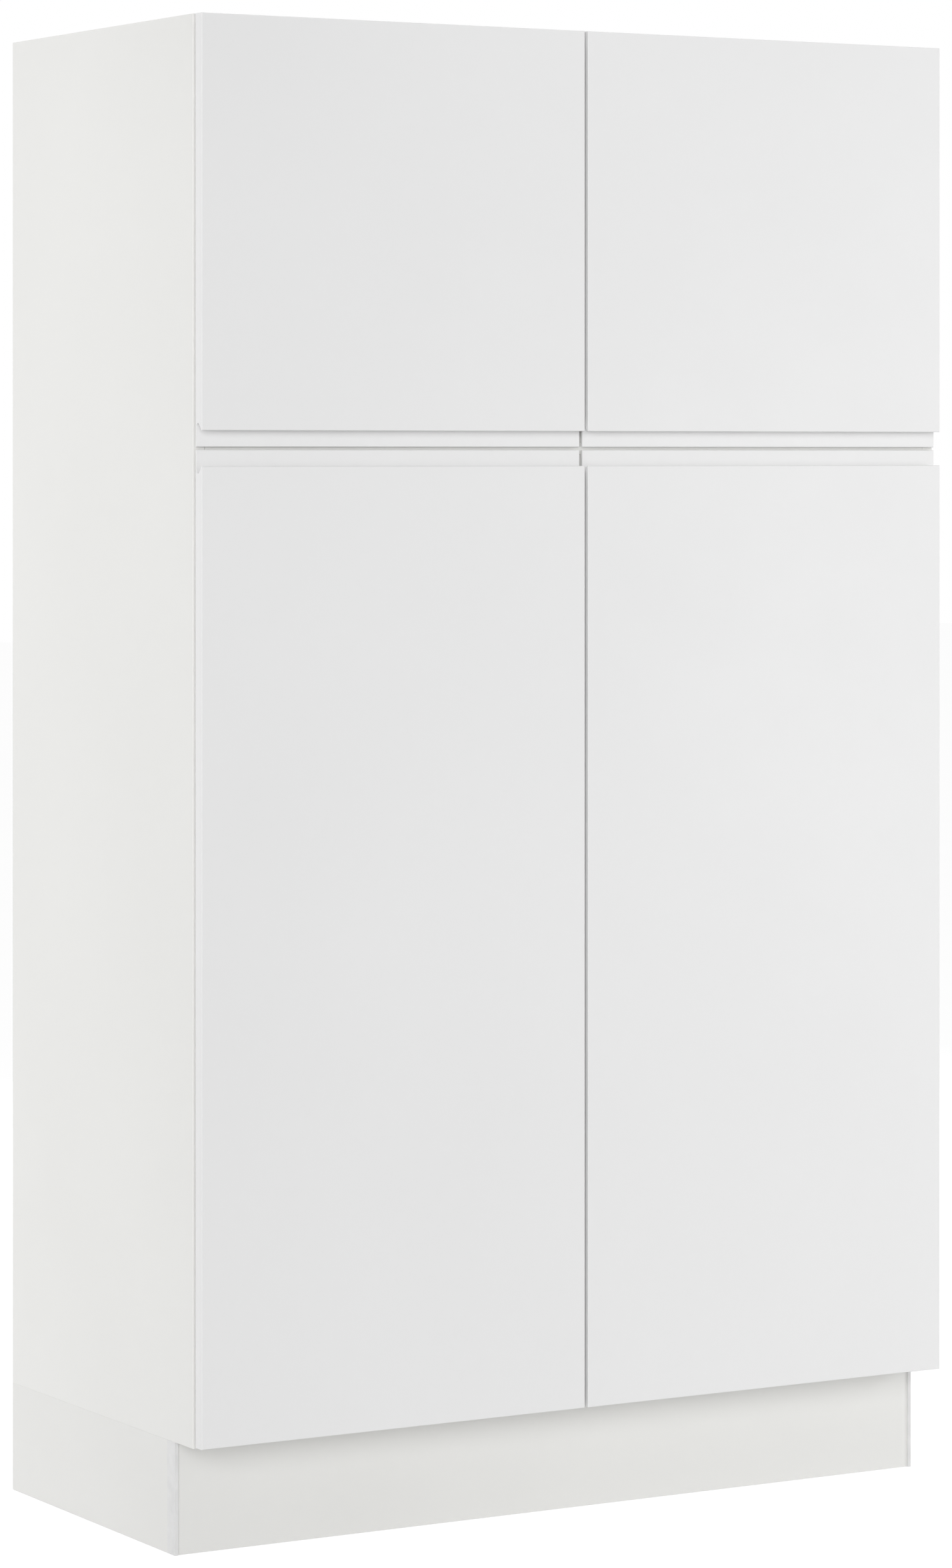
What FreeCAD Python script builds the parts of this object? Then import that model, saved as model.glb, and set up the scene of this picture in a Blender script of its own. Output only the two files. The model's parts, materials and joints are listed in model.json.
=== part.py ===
import FreeCAD, Part
import math
import os

Vector = FreeCAD.Vector
X_AXIS = Vector(1, 0, 0)
Y_AXIS = Vector(0, 1, 0)
Z_AXIS = Vector(0, 0, 1)
ORIGIN = Vector(0, 0, 0)

# Overall size: X is width, Y runs from the doors (-) to the wall (+), Z is up from the floor
cabinet_width = 1200.0
cabinet_depth = 584.0
cabinet_height = 2060.0
grip_height = 1482.0          # level of the grip line between upper and lower doors

# Carcass boards
board = 18.0
back_board = 8.0
edge_band_round = 1.2         # rounding of the banded front edges
seam_round = 0.4              # eased edges where a side panel stands on the plinth return
rebate_width = 10.0           # how far the back boards run into the side panels
back_joint = 1.0              # gap between the two back boards, behind the partitions
fit_gap = 0.2                 # loose fit of a board in a rebate or a slot
rail_height = 90.0            # wall rails under the top panel
wall_hole_radius = 4.0
wall_hole_spacing = 900.0

# Doors
door_thick = 19.0
door_gap = 3.0                # air between the doors and the carcass
door_inset = 2.0              # door edge inside the cabinet side
door_joint = 4.0              # gap between an upper and a lower door
door_middle_gap = 5.0         # gap between a left and a right door
door_edge_round = 1.0
door_bottom_gap = 2.0         # lower door above the top of the plinth

# Routed grip along the door edge at the grip line
grip_depth = 15.5             # from the door front to the rear lip
grip_tip = 24.0               # tip of the front lip, measured from the grip line
groove_rise = 9.5             # undercut behind the front lip
lip_angle = math.radians(50.0)
lip_tip_round = 1.0
rear_lip_round = 1.4

# Loose shelves on pins
shelf_setback = 24.0
shelf_side_gap = 0.6
shelf_back_gap = 1.5
pin_radius = 2.5
pin_depth = 8.0
pin_hole_gap = 0.05
pin_tongue_length = 9.0
pin_tongue_width = 7.0
pin_tongue_thick = 3.0
pin_row_setback = 37.0        # first row of holes behind the front edge
pin_back_row = 70.0           # second row in front of the back edge
system_pitch = 32.0
upper_shelves = 1
lower_shelves = 2

# Plinth
plinth_height = 152.0
plinth_board = 16.0
plinth_setback = 56.0         # plinth front behind the carcass front
cap_wall = 3.0
cap_lip = 5.0
cap_side = 2.0
cap_rear_wall = 3.6

# Legs
leg_edge_x = 60.0             # leg axis from the cabinet side
leg_front_gap = 48.0          # front leg axis behind the plinth board
leg_back = 62.0               # back leg axis in front of the cabinet back
tube_radius = 15.0
tube_bore = 12.0
stem_gap = 0.05
stem_length = 70.0
foot_radius = 26.0
foot_thick = 12.0
socket_radius = 36.0
socket_thick = 6.0
collar_radius = 22.0
collar_height = 16.0
foot_grips = 10               # finger hollows round the foot
foot_grip_radius = 6.0
foot_grip_depth = 1.6
clip_thick = 2.5
clip_height = 18.0
clip_plate_width = 44.0
clip_plate_height = 34.0
clip_grip_gap = 0.3
clip_opening = 20.0

# Concealed hinges: places are measured from the door's outer edge (u, inwards)
# and from the door's back face (v, into the cabinet)
hinge_from_end = 100.0
hinge_from_grip = 123.0       # hinge next to the grip line
cup_radius = 20.0
cup_edge = 5.0                # door left between the cup and the door edge
cup_depth = 12.4
cup_fit = 0.1
cup_wall = 1.6
cup_floor = 0.8
flange_thick = 1.2
flange_overlap = 1.5
flange_half_length = 34.0
flange_half_width = 9.0
cup_screw_offset = 27.0
hinge_pin = 1.25
pivot_gap = 0.05              # turning fit of a link on its pin
pin_press_gap = 0.02          # tight fit of a pin in the arm or the cup
arm_deep_pivot = (38.5, -8.2)     # inner link on the arm
cup_deep_pivot = (13.4, -7.4)     # inner link in the cup
arm_slot_pivot = (44.0, 3.5)      # outer link on the arm
cup_shallow_pivot = (14.0, -3.0)  # outer link in the cup
arm_knee = (37.5, 4.4)
inner_link_half = 3.5
inner_link_round = 2.7
link_gap = 0.4
outer_link_thick = 1.7
outer_link_round = 2.5
slot_half_width = 1.75
slot_behind = 0.9
slot_ahead = 3.5
scallop_radius = 6.0          # hollow in each link that lets it pass the cup's rim
inner_scallop_place = 9.5
outer_scallop_place = 7.7
scallop_waist = 0.1
arm_sheet = 1.6
arm_bend = 1.2
arm_nose_round = 2.7
arm_body_round = 3.2
arm_front = 20.0
arm_rear = 64.0
arm_neck = (25.4, 24.0)
plate_base = 2.0
plate_height = 11.0
plate_wing_half = 24.0
plate_wing_width = 16.0
plate_rear = 60.0
plate_front = 22.0
arm_clear = 0.3
screw_radius = 1.75
screw_head_radius = 3.4
screw_head = 2.0
screw_length = 11.0
screw_fit = 0.05

# Door bumpers
bumper_radius = 2.4
bumper_gap = 0.3
bumper_from_end = 40.0
bumper_from_grip = 63.0

# Derived planes
half_width = cabinet_width / 2
front_y = -cabinet_depth / 2
back_y = cabinet_depth / 2
door_back_y = front_y + door_thick
carcass_front_y = door_back_y + door_gap
inner_back_y = back_y - back_board
side_inner_x = half_width - board
partition_x = board / 2
door_outer_x = half_width - door_inset
door_inner_x = door_middle_gap / 2
door_width = door_outer_x - door_inner_x
upper_door_far = cabinet_height - grip_height
lower_door_far = grip_height - plinth_height - door_bottom_gap
bottom_top_z = plinth_height + board
shelf_low_z = grip_height - board / 2
shelf_top_z = grip_height + board / 2
top_low_z = cabinet_height - board
plinth_front_y = carcass_front_y + plinth_setback
plinth_back_y = plinth_front_y + plinth_board
cap_front_y = plinth_front_y - cap_wall
cap_rear_y = plinth_back_y + cap_rear_wall
side_face_u = board - door_inset
cup_centre_u = cup_edge + cup_radius
plate_line_v = door_gap + pin_row_setback
cheek_in = inner_link_half + link_gap + outer_link_thick + link_gap
cheek_out = cheek_in + arm_sheet
cavity_half = cheek_out + 2 * link_gap


def block(x0, x1, y0, y1, z0, z1):
    """Box between two corners."""
    return Part.makeBox(x1 - x0, y1 - y0, z1 - z0, Vector(x0, y0, z0))


def rod(centre, direction, radius, length):
    """Round bar from a point along a direction."""
    return Part.makeCylinder(radius, length, centre, direction)


def fused(shapes):
    """One clean solid from touching solids."""
    return shapes[0].multiFuse(shapes[1:]).removeSplitter() if len(shapes) > 1 else shapes[0]


def mirrored(shape):
    """The same piece for the other side of the cabinet."""
    return shape.mirror(ORIGIN, X_AXIS)


def save(name, shapes):
    """Write one named node, made of one or more solids."""
    solids = [solid for shape in shapes for solid in shape.Solids]
    node = solids[0] if len(solids) == 1 else Part.makeCompound(solids)
    node.exportStep("parts/" + name + ".step")


def spread(low, high, count, thick):
    """Undersides of shelves that share out a compartment evenly."""
    pitch = (high - low - count * thick) / (count + 1)
    return [low + pitch * (i + 1) + thick * i for i in range(count)]


# Heights shared by shelves, pins and hinges
upper_shelf_z = spread(shelf_top_z, top_low_z, upper_shelves, board)
lower_shelf_z = spread(bottom_top_z, shelf_low_z, lower_shelves, board)
lower_door_low = grip_height - lower_door_far
upper_hinge_z = [grip_height + hinge_from_grip, cabinet_height - hinge_from_end]
lower_hinge_low = lower_door_low + hinge_from_end
lower_hinge_high = grip_height - hinge_from_grip
lower_hinge_z = [lower_hinge_low, (lower_hinge_low + lower_hinge_high) / 2, lower_hinge_high]
pin_rows_y = [carcass_front_y + pin_row_setback, back_y - pin_back_row]


def pin_holes(face_x, into):
    """Rows of shelf pin holes drilled into a board face."""
    holes = []
    for shelf_z in upper_shelf_z + lower_shelf_z:
        for step in (-1, 0, 1):
            for row_y in pin_rows_y:
                mouth = Vector(face_x, row_y, shelf_z - pin_tongue_thick / 2 + step * system_pitch)
                holes.append(rod(mouth, into, pin_radius + pin_hole_gap, pin_depth + pin_hole_gap))
    return holes


def plate_holes():
    """Screw holes of the hinge plates in the left side panel."""
    holes = []
    for hinge_z in upper_hinge_z + lower_hinge_z:
        for side in (-1, 1):
            mouth = Vector(-side_inner_x, carcass_front_y + pin_row_setback, hinge_z + side * system_pitch / 2)
            holes.append(rod(mouth, -X_AXIS, screw_radius + screw_fit, screw_length))
    return holes


def edge_banded(panel):
    """Board with its long front edges rounded."""
    front = panel.BoundBox.YMin + edge_band_round / 2
    edges = [edge for edge in panel.Edges if edge.BoundBox.YMax < front and edge.Length > 2 * board]
    return panel.makeFillet(edge_band_round, edges)


def seam_bead(way, start_y):
    """Sliver cut off a left board's outer edge at the top of the plinth; way is +1 for the board above."""
    centre = Vector(-half_width + seam_round, start_y, plinth_height + way * seam_round)
    outside = block(-half_width - seam_round, centre.x, start_y, back_y + seam_round,
                    min(centre.z, plinth_height - way * seam_round),
                    max(centre.z, plinth_height - way * seam_round))
    return outside.cut(rod(centre, Y_AXIS, seam_round, back_y + seam_round - start_y))


def side_panel():
    """Left side panel with its back rebate and drilled rows."""
    panel = edge_banded(block(-half_width, -side_inner_x, carcass_front_y, back_y,
                              plinth_height, cabinet_height))
    rebate = block(-side_inner_x - rebate_width, -side_inner_x, inner_back_y, back_y,
                   plinth_height, cabinet_height)
    seam = seam_bead(1, carcass_front_y + edge_band_round)
    return panel.cut([rebate, seam] + pin_holes(-side_inner_x, -X_AXIS) + plate_holes())


def partition(low, high):
    """Upright board in the middle of the cabinet."""
    panel = edge_banded(block(-partition_x, partition_x, carcass_front_y, inner_back_y, low, high))
    return panel.cut(pin_holes(-partition_x, X_AXIS) + pin_holes(partition_x, -X_AXIS))


def cross_board(low, high):
    """Board that runs the full width between the sides."""
    return edge_banded(block(-side_inner_x, side_inner_x, carcass_front_y, inner_back_y, low, high))


def wall_hole(x):
    """Screw hole through the wall rail and the back board."""
    start = Vector(x, inner_back_y - 2 * board, top_low_z - rail_height / 2)
    return rod(start, Y_AXIS, wall_hole_radius, 3 * board)


def back_panel():
    """Left back board, set into the side panel's rebate."""
    panel = block(-side_inner_x - rebate_width + fit_gap, -back_joint / 2, inner_back_y, back_y,
                  plinth_height, cabinet_height)
    return panel.cut(wall_hole(-wall_hole_spacing / 2))


def wall_rail():
    """Left rail that takes the wall screw."""
    rail = block(-side_inner_x, -partition_x, inner_back_y - board, inner_back_y,
                 top_low_z - rail_height, top_low_z)
    return rail.cut(wall_hole(-wall_hole_spacing / 2))


def shelf(low):
    """Loose shelf in the left column."""
    left = -side_inner_x + shelf_side_gap
    right = -partition_x - shelf_side_gap
    back = inner_back_y - board - shelf_back_gap
    return edge_banded(block(left, right, carcass_front_y + shelf_setback, back, low, low + board))


def shelf_pin(face_x, row_y, shelf_z, outward):
    """Pin with a flat tongue under the shelf."""
    axis_z = shelf_z - pin_tongue_thick / 2
    root = Vector(face_x, row_y, axis_z) - outward * pin_depth
    pin = rod(root, outward, pin_radius, pin_depth)
    reach = face_x + outward.x * pin_tongue_length
    tongue = block(min(face_x, reach), max(face_x, reach), row_y - pin_tongue_width / 2,
                   row_y + pin_tongue_width / 2, shelf_z - pin_tongue_thick, shelf_z)
    return fused([pin, tongue])


def column_pins():
    """All pins of the left column's shelves."""
    pins = []
    for shelf_z in upper_shelf_z + lower_shelf_z:
        for row_y in pin_rows_y:
            pins.append(shelf_pin(-side_inner_x, row_y, shelf_z, X_AXIS))
            pins.append(shelf_pin(-partition_x, row_y, shelf_z, -X_AXIS))
    return pins


def section_point(depth, height, way):
    """Point of the door section: depth behind the front, height from the grip line."""
    return Vector(0, front_y + depth, grip_height + way * height)


def door_section(far, way):
    """Door outline seen from the side, with the routed grip; way is +1 above the grip line."""
    def at(depth, height):
        return section_point(depth, height, way)

    def arc(centre, radius, start, end):
        middle = (start + end) / 2
        points = [at(centre[0] + radius * math.cos(a), centre[1] + radius * math.sin(a))
                  for a in (start, middle, end)]
        return Part.Arc(*points).toShape()

    sine = math.sin(lip_angle)
    cosine = math.cos(lip_angle)
    half_wedge = (math.pi / 2 - lip_angle) / 2
    corner = grip_tip - lip_tip_round * (1 / math.tan(half_wedge) - 1)
    tip_centre = (lip_tip_round, grip_tip + lip_tip_round)
    groove_top = grip_tip + groove_rise
    groove_round = (sine * grip_depth - cosine * (groove_top - corner)) / (1 + sine - cosine)
    groove_centre = (grip_depth - groove_round, groove_top - groove_round)
    slope_angle = lip_angle + math.pi / 2
    lip_low = door_joint / 2
    rear = rear_lip_round
    edge = door_edge_round

    def on_arc(centre, radius, angle):
        return at(centre[0] + radius * math.cos(angle), centre[1] + radius * math.sin(angle))

    edges = [
        Part.LineSegment(at(0, far - edge), at(0, tip_centre[1])).toShape(),
        arc(tip_centre, lip_tip_round, math.pi, math.pi + math.pi / 2 + lip_angle),
        Part.LineSegment(on_arc(tip_centre, lip_tip_round, lip_angle - math.pi / 2),
                         on_arc(groove_centre, groove_round, slope_angle)).toShape(),
        arc(groove_centre, groove_round, slope_angle, 0),
        Part.LineSegment(at(grip_depth, groove_centre[1]), at(grip_depth, lip_low + rear)).toShape(),
        arc((grip_depth + rear, lip_low + rear), rear, math.pi, 1.5 * math.pi),
        Part.LineSegment(at(grip_depth + rear, lip_low), at(door_thick - edge, lip_low)).toShape(),
        arc((door_thick - edge, lip_low + edge), edge, 1.5 * math.pi, 2 * math.pi),
        Part.LineSegment(at(door_thick, lip_low + edge), at(door_thick, far - edge)).toShape(),
        arc((door_thick - edge, far - edge), edge, 0, math.pi / 2),
        Part.LineSegment(at(door_thick - edge, far), at(edge, far)).toShape(),
        arc((edge, far - edge), edge, math.pi / 2, math.pi),
    ]
    return Part.Face(Part.Wire(edges))


def door_plan():
    """Left door seen from above, with rounded upright edges."""
    slab = block(-door_outer_x, -door_inner_x, front_y, door_back_y, 0, cabinet_height)
    upright = [edge for edge in slab.Edges if abs(edge.tangentAt(edge.FirstParameter).z) > 0.99]
    return slab.makeFillet(door_edge_round, upright)


def cup_bores(hinge_heights):
    """Cup bores and screw holes in the back of the left door."""
    cuts = []
    for hinge_z in hinge_heights:
        centre = hinge_point((cup_centre_u, 0), hinge_z)
        cuts.append(rod(centre, -Y_AXIS, cup_radius + cup_fit, cup_depth + cup_fit))
        for side in (-1, 1):
            mouth = centre + Z_AXIS * side * cup_screw_offset
            cuts.append(rod(mouth, -Y_AXIS, screw_radius + screw_fit, screw_length))
    return cuts


def door(far, way, hinge_heights):
    """Left door: the grip section drawn across the width, with rounded uprights."""
    panel = door_section(far, way).extrude(X_AXIS * door_width)
    panel.translate(X_AXIS * -door_outer_x)
    return panel.common(door_plan()).cut(cup_bores(hinge_heights))


def hinge_point(place, z):
    """Point from hinge places (u, v) on the left side of the cabinet."""
    return Vector(-door_outer_x + place[0], door_back_y + place[1], z)


def link_plate(start, end, radius, low, high):
    """Flat link with round ends between two hinge places."""
    first = hinge_point(start, low)
    last = hinge_point(end, low)
    along = (last - first).normalize()
    across = Z_AXIS.cross(along) * radius
    reach = along * radius
    outline = Part.Wire([
        Part.LineSegment(first - across, last - across).toShape(),
        Part.Arc(last - across, last + reach, last + across).toShape(),
        Part.LineSegment(last + across, first + across).toShape(),
        Part.Arc(first + across, first - reach, first - across).toShape(),
    ])
    return Part.Face(outline).extrude(Z_AXIS * (high - low))


def pivot(place, radius, low, high):
    """Upright pin or hole at a hinge place."""
    return rod(hinge_point(place, low), Z_AXIS, radius, high - low)


def beside(start, end, along, across):
    """Place measured along and across the line between two places."""
    length = math.dist(start, end)
    du = (end[0] - start[0]) / length
    dv = (end[1] - start[1]) / length
    return (start[0] + du * along - dv * across, start[1] + dv * along + du * across)


def scallop(start, end, along, low, high):
    """Round hollow in the side of a link that faces the cabinet."""
    centre = beside(start, end, along, scallop_radius + scallop_waist)
    return pivot(centre, scallop_radius, low, high)


def inner_link(z):
    """Centre link, waisted so that it passes the rim of the cup when the door is open."""
    low = z - inner_link_half
    high = z + inner_link_half
    link = link_plate(cup_deep_pivot, arm_deep_pivot, inner_link_round, low, high)
    hollow = scallop(cup_deep_pivot, arm_deep_pivot, inner_scallop_place, low, high)
    holes = [pivot(place, hinge_pin + pivot_gap, low, high) for place in (cup_deep_pivot, arm_deep_pivot)]
    return link.cut([hollow] + holes)


def outer_link(z):
    """Pair of side plates: round hole in the cup, slot on the arm."""
    slot_start = beside(arm_slot_pivot, cup_shallow_pivot, slot_behind, 0)
    slot_end = beside(arm_slot_pivot, cup_shallow_pivot, -slot_ahead, 0)
    plates = []
    for side in (-1, 1):
        near = z + side * (inner_link_half + link_gap)
        far = near + side * outer_link_thick
        low = min(near, far)
        high = max(near, far)
        plate = link_plate(cup_shallow_pivot, slot_end, outer_link_round, low, high)
        slot = link_plate(slot_start, slot_end, slot_half_width, low, high)
        hole = pivot(cup_shallow_pivot, hinge_pin + pivot_gap, low, high)
        hollow = scallop(cup_shallow_pivot, arm_slot_pivot, outer_scallop_place, low, high)
        plates.append(plate.cut([slot, hole, hollow]))
    return plates


def arm_channel(z):
    """Rear of the arm: a bent channel that sits over the mounting plate."""
    low_x = hinge_point((side_face_u + plate_base + arm_clear, 0), z).x
    web_x = -side_inner_x + plate_height
    front = door_back_y + arm_front
    rear = door_back_y + arm_rear
    channel = block(low_x, web_x + arm_sheet, front, rear, z - cheek_out, z + cheek_out)
    bends = [edge for edge in channel.Edges
             if edge.BoundBox.XMin > web_x and edge.BoundBox.YLength > arm_sheet]
    inside = block(low_x, web_x, front, rear, z - cheek_in, z + cheek_in)
    return channel.makeFillet(arm_bend, bends).cut(inside)


def hinge_arm(z):
    """Arm: a channel over the plate and two cheeks with a nose that dips into the cup."""
    pieces = [arm_channel(z)]
    for low, high in ((z - cheek_out, z - cheek_in), (z + cheek_in, z + cheek_out)):
        pieces.append(link_plate(arm_neck, arm_slot_pivot, arm_body_round, low, high))
        pieces.append(link_plate(arm_slot_pivot, arm_knee, arm_nose_round, low, high))
        pieces.append(link_plate(arm_knee, arm_deep_pivot, arm_nose_round, low, high))
    return fused(pieces).cut(arm_pins(z, pin_press_gap))


def arm_pins(z, gap=0.0):
    """The arm's two pivot pins, or their holes with a fit gap."""
    return [pivot(place, hinge_pin + gap, z - cheek_out, z + cheek_out)
            for place in (arm_deep_pivot, arm_slot_pivot)]


def plate_screw(z):
    """Screw through the wing of a mounting plate into the side panel."""
    seat = Vector(-side_inner_x + plate_base, carcass_front_y + pin_row_setback, z)
    head = rod(seat, X_AXIS, screw_head_radius, screw_head)
    shank = rod(seat, -X_AXIS, screw_radius, screw_length)
    return fused([head, shank])


def winged_plate(centre, normal, half_wide, half_length, thick):
    """Upright plate with round ends on a board face."""
    reach = Z_AXIS * (half_length - half_wide)
    across = Z_AXIS.cross(normal) * half_wide
    outline = Part.Wire([
        Part.LineSegment(centre - across - reach, centre - across + reach).toShape(),
        Part.Arc(centre - across + reach, centre + Z_AXIS * half_length, centre + across + reach).toShape(),
        Part.LineSegment(centre + across + reach, centre + across - reach).toShape(),
        Part.Arc(centre + across - reach, centre - Z_AXIS * half_length, centre - across - reach).toShape(),
    ])
    return Part.Face(outline).extrude(normal * thick)


def mounting_plate(z):
    """Winged plate on the side panel that carries the arm."""
    line_y = carcass_front_y + pin_row_setback
    wings = winged_plate(Vector(-side_inner_x, line_y, z), X_AXIS, plate_wing_width / 2,
                         plate_wing_half, plate_base)
    spine = block(-side_inner_x, -side_inner_x + plate_height, door_back_y + plate_front,
                  door_back_y + plate_rear, z - cheek_in + arm_clear, z + cheek_in - arm_clear)
    holes = [rod(Vector(-side_inner_x, line_y, z + side * system_pitch / 2), X_AXIS,
                 screw_radius + screw_fit, plate_base) for side in (-1, 1)]
    return fused([wings, spine]).cut(holes)


def hinge_cup(z):
    """Cup with a screw flange, open towards the arm."""
    centre = hinge_point((cup_centre_u, 0), z)
    pot = rod(centre, -Y_AXIS, cup_radius, cup_depth)
    rim = rod(centre, Y_AXIS, cup_radius + flange_overlap, flange_thick)
    ears = winged_plate(centre, Y_AXIS, flange_half_width, flange_half_length, flange_thick)
    body = fused([pot, rim, ears])
    cavity_radius = cup_radius - cup_wall
    bowl = rod(centre - Y_AXIS * (cup_depth - cup_floor), Y_AXIS, cavity_radius, cup_depth + flange_thick)
    width = block(centre.x - cup_radius, centre.x + cup_radius, centre.y - cup_depth,
                  centre.y + cup_depth, z - cavity_half, z + cavity_half)
    notch = block(centre.x, centre.x + 2 * cup_radius, centre.y, centre.y + flange_thick,
                  z - cavity_half, z + cavity_half)
    cuts = [bowl.common(width), notch] + cup_pins(z, pin_press_gap)
    for side in (-1, 1):
        mouth = centre + Z_AXIS * side * cup_screw_offset
        cuts.append(rod(mouth, Y_AXIS, screw_radius + screw_fit, flange_thick))
    return body.cut(cuts)


def cup_pins(z, gap=0.0):
    """Through pin of the inner link and two stub pins of the outer link, or their holes."""
    reach = cavity_half + 2 * hinge_pin
    stub = inner_link_half + link_gap
    radius = hinge_pin + gap
    pins = [pivot(cup_deep_pivot, radius, z - reach, z + reach)]
    pins.append(pivot(cup_shallow_pivot, radius, z + stub, z + reach))
    pins.append(pivot(cup_shallow_pivot, radius, z - reach, z - stub))
    return pins


def cup_screws(z):
    """Two screws that hold the cup's flange to the door."""
    screws = []
    for side in (-1, 1):
        seat = hinge_point((cup_centre_u, flange_thick), z + side * cup_screw_offset)
        head = rod(seat, Y_AXIS, screw_head_radius, screw_head)
        shank = rod(seat, -Y_AXIS, screw_radius, screw_length)
        screws.append(fused([head, shank]))
    return screws


def end_cap():
    """U-shaped cap over the left end of the plinth board."""
    outer = block(-half_width, -half_width + cap_lip, cap_front_y, cap_rear_y, 0, plinth_height)
    slot = block(-half_width + cap_side, -half_width + cap_lip, plinth_front_y - fit_gap,
                 plinth_back_y + fit_gap, 0, plinth_height)
    return outer.cut(slot)


def plinth_front():
    """Plinth board between the end caps."""
    end = half_width - cap_side - fit_gap
    return block(-end, end, plinth_front_y, plinth_back_y, 0, plinth_height)


def plinth_return():
    """Left plinth board, flush with the side panel."""
    panel = block(-half_width, -half_width + plinth_board, cap_rear_y, back_y, 0, plinth_height)
    return panel.cut(seam_bead(-1, cap_rear_y))


leg_places = [(x, y) for y in (plinth_back_y + leg_front_gap, back_y - leg_back)
              for x in (-half_width + leg_edge_x, 0, half_width - leg_edge_x)]
leg_names = ["front_left", "front_middle", "front_right", "back_left", "back_middle", "back_right"]


def leg_socket(place):
    """Leg tube with a flange under the bottom panel."""
    top = Vector(place[0], place[1], plinth_height)
    flange = rod(top, -Z_AXIS, socket_radius, socket_thick)
    collar = Part.makeCone(collar_radius, tube_radius, collar_height, top - Z_AXIS * socket_thick, -Z_AXIS)
    tube = rod(top, -Z_AXIS, tube_radius, plinth_height - foot_thick)
    bore = rod(Vector(place[0], place[1], foot_thick), Z_AXIS, tube_bore, stem_length + foot_thick)
    return fused([flange, collar, tube]).cut(bore)


def leg_foot(place):
    """Screwed foot: a round pad with a stem inside the tube."""
    base = Vector(place[0], place[1], 0)
    pad = rod(base, Z_AXIS, foot_radius, foot_thick)
    rim = [edge for edge in pad.Edges if edge.Closed and edge.BoundBox.ZMin > foot_thick / 2]
    pad = pad.makeFillet(foot_thick / 4, rim)
    stem = rod(base + Z_AXIS * foot_thick, Z_AXIS, tube_bore - stem_gap, stem_length)
    grip_circle = foot_radius + foot_grip_radius - foot_grip_depth
    hollows = []
    for i in range(foot_grips):
        angle = 2 * math.pi * i / foot_grips
        reach = Vector(math.cos(angle), math.sin(angle), 0) * grip_circle
        hollows.append(rod(base + reach, Z_AXIS, foot_grip_radius, foot_thick))
    return fused([pad.cut(hollows), stem])


def plinth_clip(place):
    """Clip that holds the plinth board to a front leg."""
    low = plinth_height / 2 - clip_height / 2
    axis = Vector(place[0], place[1], low)
    inner = tube_radius + clip_grip_gap
    ring = rod(axis, Z_AXIS, inner + clip_thick, clip_height)
    stalk = block(place[0] - clip_thick, place[0] + clip_thick, plinth_back_y, place[1], low, low + clip_height)
    plate = block(place[0] - clip_plate_width / 2, place[0] + clip_plate_width / 2, plinth_back_y,
                  plinth_back_y + clip_thick, plinth_height / 2 - clip_plate_height / 2,
                  plinth_height / 2 + clip_plate_height / 2)
    mouth = block(place[0] - clip_opening / 2, place[0] + clip_opening / 2, place[1],
                  place[1] + 2 * tube_radius, low, low + clip_height)
    bore = rod(axis, Z_AXIS, inner, clip_height)
    return fused([ring, stalk, plate]).cut([bore, mouth])


def bumpers():
    """Pads on the partition edges that meet the doors' free corners."""
    heights = [cabinet_height - bumper_from_end, grip_height + bumper_from_grip,
               grip_height - bumper_from_grip, lower_door_low + bumper_from_end]
    x = (partition_x - edge_band_round + door_inner_x) / 2
    return [rod(Vector(-x, carcass_front_y, z), -Y_AXIS, bumper_radius, door_gap - bumper_gap)
            for z in heights]


def save_pair(left_name, right_name, shape):
    """Write a left piece and its mirror image."""
    save(left_name, [shape])
    save(right_name, [mirrored(shape)])


def both_sides(shapes):
    """Left pieces followed by their mirror images."""
    return shapes + [mirrored(shape) for shape in shapes]


def save_carcass():
    """Boards, shelves and their pins."""
    save_pair("left_side_panel", "right_side_panel", side_panel())
    save("top_panel", [cross_board(top_low_z, cabinet_height)])
    save("bottom_panel", [cross_board(plinth_height, bottom_top_z)])
    save("fixed_shelf", [cross_board(shelf_low_z, shelf_top_z)])
    save("upper_partition", [partition(shelf_top_z, top_low_z)])
    save("lower_partition", [partition(bottom_top_z, shelf_low_z)])
    save_pair("left_back_panel", "right_back_panel", back_panel())
    save_pair("left_wall_rail", "right_wall_rail", wall_rail())
    for level, low in enumerate(upper_shelf_z, 1):
        save_pair(f"upper_left_shelf_{level}", f"upper_right_shelf_{level}", shelf(low))
    for level, low in enumerate(lower_shelf_z, 1):
        save_pair(f"lower_left_shelf_{level}", f"lower_right_shelf_{level}", shelf(low))
    save("shelf_pins", both_sides(column_pins()))
    save("door_bumpers", both_sides(bumpers()))


def save_base():
    """Plinth, legs and clips."""
    save("plinth_front_board", [plinth_front()])
    save_pair("plinth_left_return", "plinth_right_return", plinth_return())
    save_pair("plinth_left_end_cap", "plinth_right_end_cap", end_cap())
    save("leg_sockets", [leg_socket(place) for place in leg_places])
    save("plinth_clips", [plinth_clip(place) for place in leg_places if place[1] < 0])
    for name, place in zip(leg_names, leg_places):
        save(name + "_foot", [leg_foot(place)])


def save_hinge_mounts():
    """Hinge pieces that stay on the carcass."""
    heights = upper_hinge_z + lower_hinge_z
    save("hinge_plates", both_sides([mounting_plate(z) for z in heights]))
    screws = [plate_screw(z + side * system_pitch / 2) for z in heights for side in (-1, 1)]
    save("plate_screws", both_sides(screws))
    save("hinge_arms", both_sides([hinge_arm(z) for z in heights]))
    save("arm_pins", both_sides([pin for z in heights for pin in arm_pins(z)]))


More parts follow.
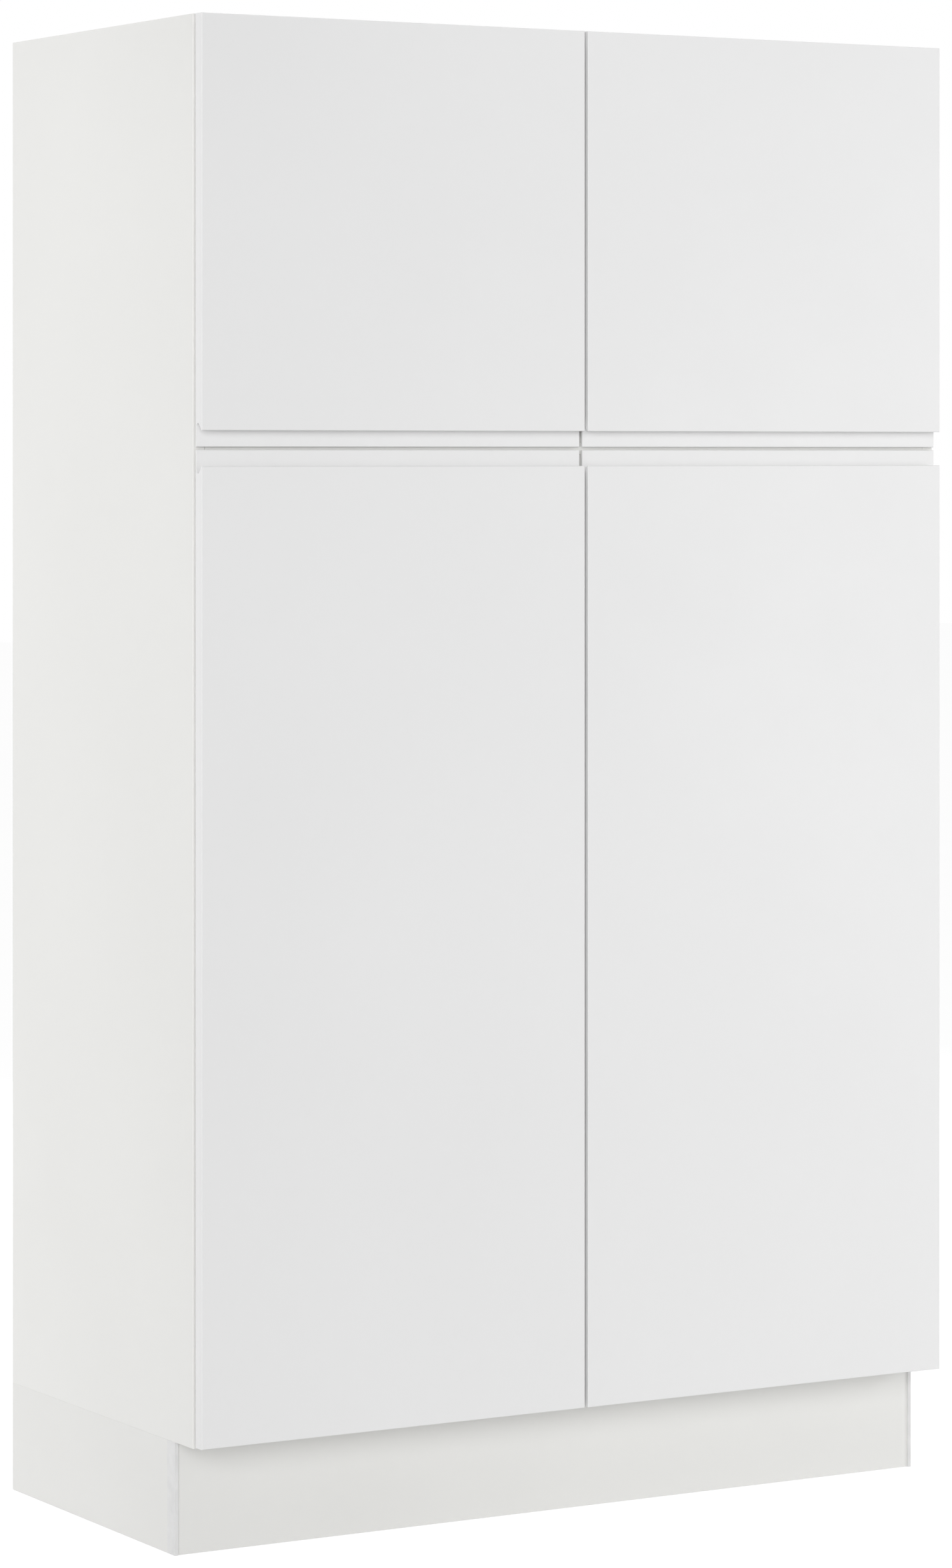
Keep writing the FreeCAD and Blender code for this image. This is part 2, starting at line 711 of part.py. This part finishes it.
def save_door(level, far, way, heights):
    """Left and right door of one level with their hinge cups and links."""
    pieces = {
        "door": [door(far, way, heights)],
        "hinge_cups": [hinge_cup(z) for z in heights],
        "cup_pins": [pin for z in heights for pin in cup_pins(z)],
        "cup_screws": [screw for z in heights for screw in cup_screws(z)],
        "inner_links": [inner_link(z) for z in heights],
        "outer_links": [plate for z in heights for plate in outer_link(z)],
    }
    for name, shapes in pieces.items():
        save(f"{level}_left_{name}", shapes)
        save(f"{level}_right_{name}", [mirrored(shape) for shape in shapes])


os.makedirs("parts", exist_ok=True)
save_carcass()
save_base()
save_hinge_mounts()
save_door("upper", upper_door_far, 1, upper_hinge_z)
save_door("lower", lower_door_far, -1, lower_hinge_z)
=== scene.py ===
import json
import math

import bmesh
import bpy
import mathutils
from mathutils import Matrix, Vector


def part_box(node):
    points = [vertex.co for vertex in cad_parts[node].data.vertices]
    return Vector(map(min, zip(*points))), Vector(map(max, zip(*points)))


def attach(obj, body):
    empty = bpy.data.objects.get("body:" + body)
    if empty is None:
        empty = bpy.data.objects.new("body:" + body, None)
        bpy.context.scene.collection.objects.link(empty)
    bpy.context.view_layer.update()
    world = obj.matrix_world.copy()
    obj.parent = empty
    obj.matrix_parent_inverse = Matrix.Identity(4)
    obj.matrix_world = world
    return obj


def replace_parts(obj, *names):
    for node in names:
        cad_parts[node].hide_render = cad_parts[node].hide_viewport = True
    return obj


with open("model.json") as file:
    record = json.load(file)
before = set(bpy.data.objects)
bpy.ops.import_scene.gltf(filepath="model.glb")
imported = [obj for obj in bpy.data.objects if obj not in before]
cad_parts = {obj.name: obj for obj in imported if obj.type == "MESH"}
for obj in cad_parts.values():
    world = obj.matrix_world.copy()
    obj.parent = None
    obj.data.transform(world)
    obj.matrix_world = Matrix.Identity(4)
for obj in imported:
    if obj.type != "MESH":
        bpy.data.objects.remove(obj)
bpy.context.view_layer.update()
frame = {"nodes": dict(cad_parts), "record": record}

scene = bpy.context.scene
scene.view_settings.view_transform = "Standard"
nodes = frame["nodes"]

# Screws, in metres: radius and height of the head, radius of the thread, length under the head
hinge_screw = {"head": 0.0034, "height": 0.0020, "shank": 0.00175, "reach": 0.011}
arm_screw = {"head": 0.0040, "height": 0.0016, "shank": 0.0025, "reach": 0.0012}
socket_screw = {"head": 0.0034, "height": 0.0018, "shank": 0.00175, "reach": 0.011}
clip_screw = {"head": 0.0032, "height": 0.0018, "shank": 0.00175, "reach": 0.010}
screw_pitch = 0.0012

# Form of a screw, in shares of its own sizes; each ring of a profile has a radius and a height
screw_point = 0.15            # radius of the tip
thread_root = 0.72            # radius between the threads
thread_rise = 0.35            # part of a pitch from root to crest
taper_start = 0.45            # radius of the first thread
taper_step = 0.25             # growth from one thread to the next
recess_length = 0.60          # half length and half width of the cross recess
recess_width = 0.13
recess_flanks = (28, 45, 62)  # degrees between two arms of the recess
head_profile = ((0.97, 0), (1.0, 0.10), (1.0, 0.45), (0.93, 0.75), (0.78, 0.94))
recess_profile = ((1.06, 1.0), (1.0, 0.96), (0.72, 0.30), (0.20, 0.15))

# Places of the screws that have no plain solid of their own, in metres
arm_channel = 0.0103          # height of a hinge arm's channel over its open edge
arm_screw_setbacks = (0.0345, 0.0110)   # in front of the arm's rear end
socket_flange = 0.006         # thickness of a leg socket's flange
socket_screw_circle = 0.029
clip_sheet = 0.0025           # thickness of a plinth clip's plate
clip_screw_step = 0.0145      # each side of the clip's middle

# Levelling feet, in metres
foot_radius = 0.026
foot_thick = 0.012
foot_chamfer = 0.0008
foot_round = 0.003            # rounding of the pad's upper edge
round_steps = 4
foot_grips = 10               # finger hollows round the pad
grip_radius = 0.006
grip_circle = 0.0304          # radius of the circle that the hollows' centres lie on
pad_top_ring = 0.0125
stem_thread = 0.01195         # radius over the stem's thread
stem_groove = 0.0012          # depth of that thread
stem_pitch = 0.004
stem_foot = (0.0106, 0.0115)  # radius and height of the stem's ends
stem_tip = (0.0100, 0.082)
thread_start = 0.0125
thread_rings = 69
ring_step = 0.001

# Door pads: radius and height of each ring, in metres
pad_profile = ((0.0024, 0), (0.0024, 0.0012), (0.0022, 0.0019), (0.0017, 0.0024), (0.0009, 0.00265),
               (0.0003, 0.0027))

# Camera: the photograph's frame in pixels, and the place in metres and degrees
photo_height = 2464
photo_focal = 8029            # focal length
photo_horizon = 712.8         # row that lies level with the camera
sensor = 36.0                 # film size in millimetres
camera_place = (-3.700, -6.323, 1.475)
camera_turn = -30.29

# Studio: the floor in metres, its paint, and its brightness to the camera
floor_size = 60
floor_drop = 0.0005           # floor below the feet
floor_pale = ((0.7, 0.7, 0.7), (0.710, 0.710, 0.710))
floor_glow = (0.68, 0.68, 0.68, 1)
white = (1, 1, 1, 1)

smooth_angle = math.radians(38)
tolerance = 1e-6


def new_material(name):
    """Empty node material with a Principled shader; returns the tree, the shader and object coordinates."""
    material = bpy.data.materials.new(name)
    material.use_nodes = True
    tree = material.node_tree
    shader = tree.nodes["Principled BSDF"]
    place = tree.nodes.new("ShaderNodeTexCoord")
    return material, tree, shader, place.outputs["Object"]


def stretched(tree, vector, scale):
    """Coordinates scaled separately along X, Y and Z."""
    mapping = tree.nodes.new("ShaderNodeMapping")
    mapping.inputs["Scale"].default_value = scale
    tree.links.new(vector, mapping.inputs["Vector"])
    return mapping.outputs["Vector"]


def noise(tree, vector, scale, detail=3.0, roughness=0.5):
    """Noise value between 0 and 1."""
    node = tree.nodes.new("ShaderNodeTexNoise")
    node.inputs["Scale"].default_value = scale
    node.inputs["Detail"].default_value = detail
    node.inputs["Roughness"].default_value = roughness
    tree.links.new(vector, node.inputs["Vector"])
    return node.outputs["Fac"]


def cells(tree, vector, scale):
    """Distance to the nearest cell centre, for grained plastic."""
    node = tree.nodes.new("ShaderNodeTexVoronoi")
    node.inputs["Scale"].default_value = scale
    tree.links.new(vector, node.inputs["Vector"])
    return node.outputs["Distance"]


def ramp(tree, value, low, high, start=0.3, end=0.7):
    """Colour that runs from low to high as the value goes from start to end."""
    node = tree.nodes.new("ShaderNodeValToRGB")
    first, last = node.color_ramp.elements
    first.position = start
    last.position = end
    first.color = (*low, 1)
    last.color = (*high, 1)
    tree.links.new(value, node.inputs["Fac"])
    return node.outputs["Color"]


def spread(tree, value, low, high, start=0.3, end=0.7):
    """Number that runs from low to high as the value goes from start to end."""
    node = tree.nodes.new("ShaderNodeMapRange")
    node.inputs["From Min"].default_value = start
    node.inputs["From Max"].default_value = end
    node.inputs["To Min"].default_value = low
    node.inputs["To Max"].default_value = high
    tree.links.new(value, node.inputs["Value"])
    return node.outputs["Result"]


def bump(tree, shader, height, strength, distance):
    """Fine relief on the surface."""
    node = tree.nodes.new("ShaderNodeBump")
    node.inputs["Strength"].default_value = strength
    node.inputs["Distance"].default_value = distance
    tree.links.new(height, node.inputs["Height"])
    tree.links.new(node.outputs["Normal"], shader.inputs["Normal"])


def around(colour, change):
    """Slightly darker and lighter versions of a colour."""
    return [c * (1 - change) for c in colour], [min(1, c * (1 + change)) for c in colour]


def coated_board(name, colour, change, gloss, grain, relief, stretch=(1, 1, 1)):
    """Painted or laminated board: soft colour drift, fine surface relief, uneven sheen."""
    material, tree, shader, place = new_material(name)
    low, high = around(colour, change)
    drift = noise(tree, place, scale=2.3, detail=4)
    tree.links.new(ramp(tree, drift, low, high), shader.inputs["Base Color"])
    sheen = noise(tree, place, scale=9.0, detail=5)
    tree.links.new(spread(tree, sheen, *gloss), shader.inputs["Roughness"])
    fine = noise(tree, stretched(tree, place, stretch), scale=grain, detail=2)
    bump(tree, shader, fine, strength=relief, distance=0.0004)
    shader.inputs["Specular IOR Level"].default_value = 0.4
    return material


def moulded_plastic(name, colour, gloss, grain):
    """Plastic with a fine spark-eroded grain."""
    material, tree, shader, place = new_material(name)
    low, high = around(colour, change=0.05)
    drift = noise(tree, place, scale=40, detail=4)
    tree.links.new(ramp(tree, drift, low, high), shader.inputs["Base Color"])
    sheen = noise(tree, place, scale=120)
    tree.links.new(spread(tree, sheen, *gloss), shader.inputs["Roughness"])
    bump(tree, shader, cells(tree, place, grain), strength=0.15, distance=0.0002)
    return material


def plated_steel(name, colour, gloss, stretch):
    """Plated pressed steel with faint rolling marks."""
    material, tree, shader, place = new_material(name)
    low, high = around(colour, change=0.06)
    marks = noise(tree, stretched(tree, place, stretch), scale=400, detail=4, roughness=0.6)
    tree.links.new(ramp(tree, marks, low, high), shader.inputs["Base Color"])
    tree.links.new(spread(tree, marks, *gloss), shader.inputs["Roughness"])
    bump(tree, shader, marks, strength=0.06, distance=0.0001)
    shader.inputs["Metallic"].default_value = 1.0
    return material


def soft_pad(name, colour, gloss):
    """Clear soft bumper pad."""
    material, tree, shader, place = new_material(name)
    low, high = around(colour, change=0.04)
    drift = noise(tree, place, scale=300)
    tree.links.new(ramp(tree, drift, low, high), shader.inputs["Base Color"])
    sheen = noise(tree, place, scale=700)
    tree.links.new(spread(tree, sheen, *gloss), shader.inputs["Roughness"])
    bump(tree, shader, noise(tree, place, scale=1500), strength=0.05, distance=0.0001)
    shader.inputs["Transmission Weight"].default_value = 0.5
    return material


looks = {
    "white_lacquer": coated_board("white_lacquer", (0.87, 0.87, 0.87), change=0.010,
                                  gloss=(0.42, 0.52), grain=420, relief=0.10),
    "white_board": coated_board("white_board", (0.862, 0.860, 0.841), change=0.012,
                                gloss=(0.40, 0.55), grain=900, relief=0.16),
    "back_board": coated_board("back_board", (0.76, 0.76, 0.74), change=0.025,
                               gloss=(0.55, 0.70), grain=600, relief=0.25, stretch=(1, 1, 0.15)),
    "plinth_board": coated_board("plinth_board", (0.832, 0.830, 0.811), change=0.015,
                                 gloss=(0.38, 0.50), grain=700, relief=0.14, stretch=(0.2, 1, 1)),
    "grey_cap": moulded_plastic("grey_cap", (0.790, 0.790, 0.788), gloss=(0.40, 0.52), grain=1800),
    "black_plastic": moulded_plastic("black_plastic", (0.018, 0.018, 0.019), gloss=(0.45, 0.60),
                                     grain=1400),
    "nickel_plated": plated_steel("nickel_plated", (0.72, 0.70, 0.66), gloss=(0.16, 0.28),
                                  stretch=(1, 0.1, 1)),
    "zinc_steel": plated_steel("zinc_steel", (0.60, 0.61, 0.64), gloss=(0.26, 0.40),
                               stretch=(1, 1, 0.2)),
    "clear_rubber": soft_pad("clear_rubber", (0.80, 0.80, 0.78), gloss=(0.25, 0.40)),
}
for part in frame["record"]["subparts"]:
    piece = nodes[part["node"]]
    piece.data.materials.clear()
    piece.data.materials.append(looks[part["material_slot"]])


def solid_boxes(node):
    """Lowest and highest corner of each separate solid in a CAD node."""
    form = bmesh.new()
    form.from_mesh(nodes[node].data)
    bmesh.ops.remove_doubles(form, verts=form.verts, dist=tolerance)
    boxes = []
    seen = set()
    for start in form.verts:
        if start in seen:
            continue
        seen.add(start)
        solid = [start]
        for vert in solid:
            beside = [edge.other_vert(vert) for edge in vert.link_edges]
            solid += [other for other in beside if other not in seen]
            seen.update(beside)
        corners = [[pick(vert.co[i] for vert in solid) for i in range(3)] for pick in (min, max)]
        boxes.append([mathutils.Vector(corner) for corner in corners])
    form.free()
    return boxes


def mesh_piece(name, solids, slot, body):
    """One mesh object from several closed forms, with its material slot, riding on a body."""
    points = []
    faces = []
    for form_points, form_faces in solids:
        start = len(points)
        points += form_points
        faces += [[start + i for i in face] for face in form_faces]
    mesh = bpy.data.meshes.new(name)
    mesh.from_pydata(points, [], faces)
    mesh.shade_smooth()
    mesh.set_sharp_from_angle(angle=smooth_angle)
    mesh.materials.append(looks[slot])
    piece = bpy.data.objects.new(name, mesh)
    scene.collection.objects.link(piece)
    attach(piece, body)
    return piece


def placed(rings, origin, axis):
    """Rings of (x, y, height) points stood on a point along an axis, as one closed form."""
    base = mathutils.Vector(origin)
    up = mathutils.Vector(axis)
    across = up.orthogonal().normalized()
    beside = up.cross(across)
    count = len(rings[0])
    points = [base + across * x + beside * y + up * z for ring in rings for x, y, z in ring]
    faces = [list(reversed(range(count)))]
    for i in range(len(rings) - 1):
        for j in range(count):
            k = (j + 1) % count
            faces.append([i * count + j, i * count + k, (i + 1) * count + k, (i + 1) * count + j])
    faces.append([(len(rings) - 1) * count + j for j in range(count)])
    return [tuple(point) for point in points], faces


def full_turn(count):
    """Evenly spaced angles round a circle."""
    return [2 * math.pi * i / count for i in range(count)]


def circle(radius, height, angles):
    """Ring of points at one height; the radius may depend on the angle."""
    at = radius if callable(radius) else lambda angle: radius
    return [(at(a) * math.cos(a), at(a) * math.sin(a), height) for a in angles]


def cross_recess(length, width, share):
    """Outline of a cross recess, scaled by a share, as a radius for each angle."""
    corner = math.atan2(width, length)

    def outline(angle):
        turn = angle % (math.pi / 2)
        turn = min(turn, math.pi / 2 - turn)
        reach = length / math.cos(turn) if turn <= corner + tolerance else width / math.sin(turn)
        return share * reach

    return outline


def cross_screw(origin, axis, head, height, shank, reach):
    """Pan-head screw with a cross recess; the thread runs back from the seat."""
    length = head * recess_length
    width = head * recess_width
    corner = math.atan2(width, length)
    flanks = [math.radians(angle) for angle in recess_flanks]
    quarter = [0, corner, *flanks, math.pi / 2 - corner]
    angles = [a + q * math.pi / 2 for q in range(4) for a in quarter]
    rings = [circle(shank * screw_point, -reach, angles)]
    turns = max(1, int(reach / screw_pitch))
    rise = reach * thread_rise / turns
    for i in range(turns):
        low = -reach + rise + reach * i / turns
        taper = min(1.0, taper_start + taper_step * i)
        rings.append(circle(shank * thread_root * taper, low, angles))
        rings.append(circle(shank * taper, low + rise, angles))
    rings.append(circle(shank * thread_root, 0, angles))
    for share, level in head_profile:
        rings.append(circle(head * share, height * level, angles))
    for share, level in recess_profile:
        rings.append(circle(cross_recess(length, width, share), height * level, angles))
    return placed(rings, origin, axis)


def towards_middle(box):
    """Direction along X from a hinge piece to the middle of the cabinet."""
    low, high = box
    return mathutils.Vector((-1 if low.x + high.x > 0 else 1, 0, 0))


def hinge_screw_at(box, inward):
    """Screw in the place of a plain one, with its head on the inward end."""
    low, high = box
    half_length = abs((high - low).dot(inward)) / 2
    seat = (low + high) / 2 + inward * (half_length - hinge_screw["height"])
    return cross_screw(seat, inward, **hinge_screw)


def arm_screws_at(box):
    """Two screws on top of a hinge arm's channel."""
    low, high = box
    inward = towards_middle(box)
    open_edge = low.x if inward.x > 0 else high.x
    face = open_edge + inward.x * arm_channel
    height = (low.z + high.z) / 2
    places = [(face, high.y - setback, height) for setback in arm_screw_setbacks]
    return [cross_screw(place, inward, **arm_screw) for place in places]


def hinge_screws():
    """Screws of the mounting plates, arms and cups."""
    plate = [hinge_screw_at(box, towards_middle(box)) for box in solid_boxes("plate_screws")]
    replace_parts(mesh_piece("plate_screw_heads", plate, "zinc_steel", "carcass"), "plate_screws")
    arm = [screw for box in solid_boxes("hinge_arms") for screw in arm_screws_at(box)]
    mesh_piece("arm_screw_heads", arm, "zinc_steel", "carcass")
    into_cabinet = mathutils.Vector((0, 1, 0))
    for level in ("upper", "lower"):
        for side in ("left", "right"):
            door = f"{level}_{side}_door"
            plain = f"{level}_{side}_cup_screws"
            screws = [hinge_screw_at(box, into_cabinet) for box in solid_boxes(plain)]
            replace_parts(mesh_piece(f"{level}_{side}_cup_screw_heads", screws, "zinc_steel", door), plain)


def base_screws():
    """Screws of the leg sockets and plinth clips."""
    screws = []
    for low, high in solid_boxes("leg_sockets"):
        middle = (low + high) / 2
        for turn in range(4):
            angle = math.radians(45 + 90 * turn)
            x = middle.x + socket_screw_circle * math.cos(angle)
            y = middle.y + socket_screw_circle * math.sin(angle)
            screws.append(cross_screw((x, y, high.z - socket_flange), (0, 0, -1), **socket_screw))
    for low, high in solid_boxes("plinth_clips"):
        middle = (low + high) / 2
        for step in (-clip_screw_step, clip_screw_step):
            spot = (middle.x + step, low.y + clip_sheet, middle.z)
            screws.append(cross_screw(spot, (0, 1, 0), **clip_screw))
    mesh_piece("base_screw_heads", screws, "zinc_steel", "carcass")


def foot_outline(angle):
    """Radius of the foot's rim with its finger hollows."""
    half_pitch = math.pi / foot_grips
    turn = (angle + half_pitch) % (2 * half_pitch) - half_pitch
    aside = grip_circle * math.sin(turn)
    if abs(aside) >= grip_radius:
        return foot_radius
    return min(foot_radius, grip_circle * math.cos(turn) - math.sqrt(grip_radius ** 2 - aside ** 2))


def foot_pad():
    """Rings of the foot's pad: chamfered below, hollowed round the rim, rounded above."""
    angles = full_turn(count=120)
    rings = [circle(lambda a: foot_outline(a) - foot_chamfer, 0, angles)]
    rings.append(circle(foot_outline, foot_chamfer, angles))
    for step in range(round_steps + 1):
        rise = math.pi / 2 * step / round_steps
        rim = foot_radius - foot_round * (1 - math.cos(rise))
        height = foot_thick - foot_round * (1 - math.sin(rise))
        rings.append(circle(lambda a, rim=rim: min(rim, foot_outline(a)), height, angles))
    rings.append(circle(pad_top_ring, foot_thick, angles))
    return rings


def foot_stem():
    """Rings of the foot's stem, with a thread that climbs one pitch in each turn."""
    angles = full_turn(count=36)

    def threaded(height):
        def radius(angle):
            climb = (height / stem_pitch - angle / (2 * math.pi)) % 1
            return stem_thread - 2 * stem_groove * abs(climb - 0.5)

        return radius

    rings = [circle(*stem_foot, angles)]
    for ring in range(thread_rings):
        height = thread_start + ring_step * ring
        rings.append(circle(threaded(height), height, angles))
    rings.append(circle(*stem_tip, angles))
    return rings


def feet():
    """Six levelling feet."""
    pad = foot_pad()
    stem = foot_stem()
    up = (0, 0, 1)
    for row in ("front", "back"):
        for side in ("left", "middle", "right"):
            foot = f"{row}_{side}_foot"
            low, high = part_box(foot)
            spot = ((low.x + high.x) / 2, (low.y + high.y) / 2, low.z)
            forms = [placed(pad, spot, up), placed(stem, spot, up)]
            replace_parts(mesh_piece(foot + "_threaded", forms, "black_plastic", foot), foot)


def bumper_domes():
    """Clear domed pads that the doors close on."""
    angles = full_turn(count=24)
    rings = [circle(radius, height, angles) for radius, height in pad_profile]
    domes = []
    for low, high in solid_boxes("door_bumpers"):
        middle = (low + high) / 2
        domes.append(placed(rings, (middle.x, high.y, middle.z), (0, -1, 0)))
    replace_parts(mesh_piece("door_bumper_domes", domes, "clear_rubber", "carcass"), "door_bumpers")


hinge_screws()
base_screws()
feet()
bumper_domes()


def seen_directly(tree):
    """1 where the camera, gloss or glass looks at the surface, 0 for the light that it gives."""
    path = tree.nodes.new("ShaderNodeLightPath")
    either = tree.nodes.new("ShaderNodeMath")
    either.operation = "MAXIMUM"
    tree.links.new(path.outputs["Is Camera Ray"], either.inputs[0])
    tree.links.new(path.outputs["Is Glossy Ray"], either.inputs[1])
    seen = tree.nodes.new("ShaderNodeMath")
    seen.operation = "MAXIMUM"
    tree.links.new(either.outputs[0], seen.inputs[0])
    tree.links.new(path.outputs["Is Transmission Ray"], seen.inputs[1])
    return seen.outputs[0]


def studio_floor():
    """Large pale floor that is white to the camera and still takes the shadow."""
    bpy.ops.mesh.primitive_plane_add(size=floor_size, location=(0, 0, -floor_drop))
    floor = bpy.context.object
    floor.name = "studio_floor"
    material, tree, shader, place = new_material("floor_paint")
    drift = noise(tree, place, scale=3)
    tree.links.new(ramp(tree, drift, *floor_pale), shader.inputs["Base Color"])
    shader.inputs["Roughness"].default_value = 0.9
    shader.inputs["Specular IOR Level"].default_value = 0.0
    tree.links.new(seen_directly(tree), shader.inputs["Emission Strength"])
    shader.inputs["Emission Color"].default_value = floor_glow
    floor.data.materials.append(material)


def studio_world(level):
    """Even soft light; white where the camera, gloss or glass sees it."""
    world = bpy.data.worlds.new("studio")
    scene.world = world
    world.use_nodes = True
    tree = world.node_tree
    sky = tree.nodes["Background"]
    sky.inputs["Color"].default_value = white
    sky.inputs["Strength"].default_value = level
    backdrop = tree.nodes.new("ShaderNodeBackground")
    backdrop.inputs["Color"].default_value = white
    backdrop.inputs["Strength"].default_value = 1.0
    mix = tree.nodes.new("ShaderNodeMixShader")
    tree.links.new(seen_directly(tree), mix.inputs[0])
    tree.links.new(sky.outputs[0], mix.inputs[1])
    tree.links.new(backdrop.outputs[0], mix.inputs[2])
    tree.links.new(mix.outputs[0], tree.nodes["World Output"].inputs["Surface"])


def soft_box(name, location, target, size, power):
    """Large soft lamp pointed at a place."""
    lamp = bpy.data.lights.new(name, "AREA")
    lamp.shape = "RECTANGLE"
    lamp.size, lamp.size_y = size
    lamp.energy = power
    box = bpy.data.objects.new(name, lamp)
    box.location = location
    aim = [t - p for t, p in zip(target, location)]
    flat = math.hypot(aim[0], aim[1])
    box.rotation_euler = (math.atan2(flat, -aim[2]), 0, math.atan2(-aim[0], aim[1]))
    scene.collection.objects.link(box)


def soft_sun(name, towards, angle, power):
    """Very soft lamp that lights from one direction, the same at every height."""
    lamp = bpy.data.lights.new(name, "SUN")
    lamp.angle = math.radians(angle)
    lamp.energy = power
    sun = bpy.data.objects.new(name, lamp)
    flat = math.hypot(towards[0], towards[1])
    sun.rotation_euler = (math.atan2(flat, towards[2]), 0, math.atan2(towards[0], -towards[1]))
    scene.collection.objects.link(sun)


def camera():
    """Level camera at eye height, looking at the left front corner."""
    data = bpy.data.cameras.new("camera")
    data.sensor_width = sensor
    data.lens = sensor * photo_focal / photo_height
    data.shift_y = (photo_horizon - photo_height / 2) / photo_height
    data.clip_end = 200
    view = bpy.data.objects.new("camera", data)
    view.location = camera_place
    view.rotation_euler = (math.radians(90), 0, math.radians(camera_turn))
    scene.collection.objects.link(view)
    scene.camera = view


studio_floor()
studio_world(level=0.31)
soft_sun("left_front_sun", towards=(-0.56, -0.8, 0.14), angle=46, power=2.02)
soft_box("right_front_box", location=(3.4, -3.4, 1.2), target=(0.4, -0.3, 1.1), size=(2.4, 2.4), power=45)
soft_box("left_back_box", location=(-4.0, 1.6, 1.8), target=(-0.6, 0.2, 1.0), size=(2.4, 2.4), power=46)
soft_box("back_box", location=(0.9, 4.2, 2.2), target=(0.0, 0.3, 1.2), size=(2.6, 2.6), power=55)
soft_box("top_box", location=(0.0, 0.1, 4.4), target=(0.0, 0.1, 2.0), size=(1.6, 0.9), power=14)
camera()
